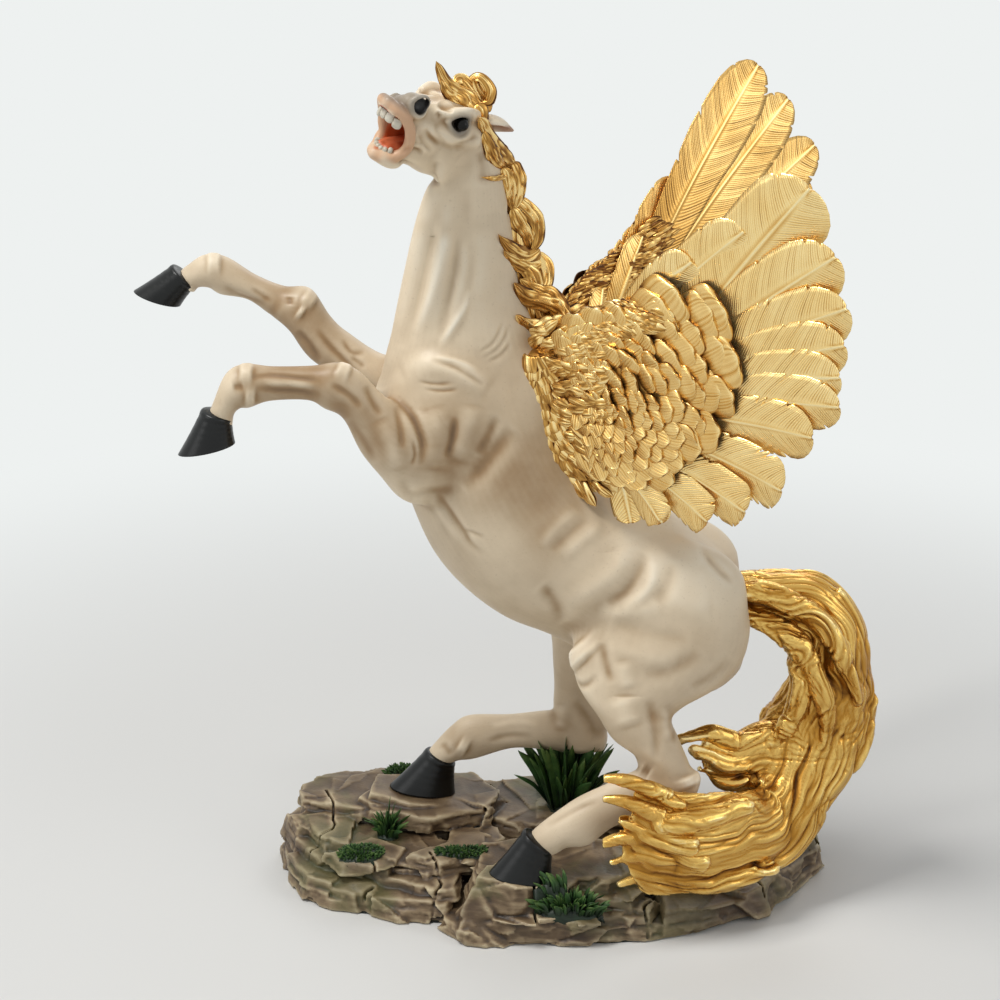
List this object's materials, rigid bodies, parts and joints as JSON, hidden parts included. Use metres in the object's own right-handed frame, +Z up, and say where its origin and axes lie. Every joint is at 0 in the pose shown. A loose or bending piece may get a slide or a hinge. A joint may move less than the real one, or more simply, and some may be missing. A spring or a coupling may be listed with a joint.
{
  "type": "pegasus statue",
  "caption": "Painted cast statue of a rearing winged horse: cream body, gilded wings, mane and sweeping tail, black hooves, standing on a layered rock base with grass.",
  "frame": {"origin": "middle of the rock base's footprint, on the underside of the felt sheet, level with the surface it stands on", "axes": "+Z up; the horse faces -X, its left side faces -Y, and the tail is at +X"},
  "size_m": [0.341, 0.198, 0.3985],
  "materials": {
    "cream_paint": "satin cream paint on cast resin with a brown wash in the hollows",
    "gold_paint": "metallic gold paint on cast resin with a brown wash in the grooves",
    "hoof_black": "gloss black paint on cast resin",
    "rock_paint": "matte grey-brown paint on cast resin, dry-brushed edges and green tints",
    "grass_paint": "satin dark green paint on cast resin",
    "mouth_paint": "satin orange-red paint",
    "teeth_paint": "satin off-white paint",
    "eye_gloss": "glossy black enamel",
    "felt": "dark felt",
    "steel": "plain steel dowel"
  },
  "bodies": {
    "root": {"horse_body": "cream_paint", "foreleg_left": "cream_paint", "foreleg_right": "cream_paint", "wing_left": "gold_paint", "wing_right": "gold_paint", "wing_root_left": "gold_paint", "wing_root_right": "gold_paint", "tail": "gold_paint", "mane": "gold_paint", "forelock": "gold_paint", "hoof_fore_left": "hoof_black", "hoof_fore_right": "hoof_black", "hoof_hind_left": "hoof_black", "hoof_hind_right": "hoof_black", "grass_hock": "grass_paint", "grass_left": "grass_paint", "grass_front": "grass_paint", "grass_back": "grass_paint", "moss_left": "grass_paint", "moss_middle": "grass_paint", "moss_back": "grass_paint", "rock_base": "rock_paint", "felt_sheet": "felt", "tongue": "mouth_paint", "upper_teeth": "teeth_paint", "lower_teeth": "teeth_paint", "eye_left": "eye_gloss", "eye_right": "eye_gloss", "pin_wing_left_upper": "steel", "pin_wing_left_lower": "steel", "pin_wing_right_upper": "steel", "pin_wing_right_lower": "steel", "pin_hind_left": "steel", "pin_hind_right": "steel", "pin_foreleg_left": "steel", "pin_foreleg_right": "steel", "pin_tail": "steel"}
  },
  "joints": []
}
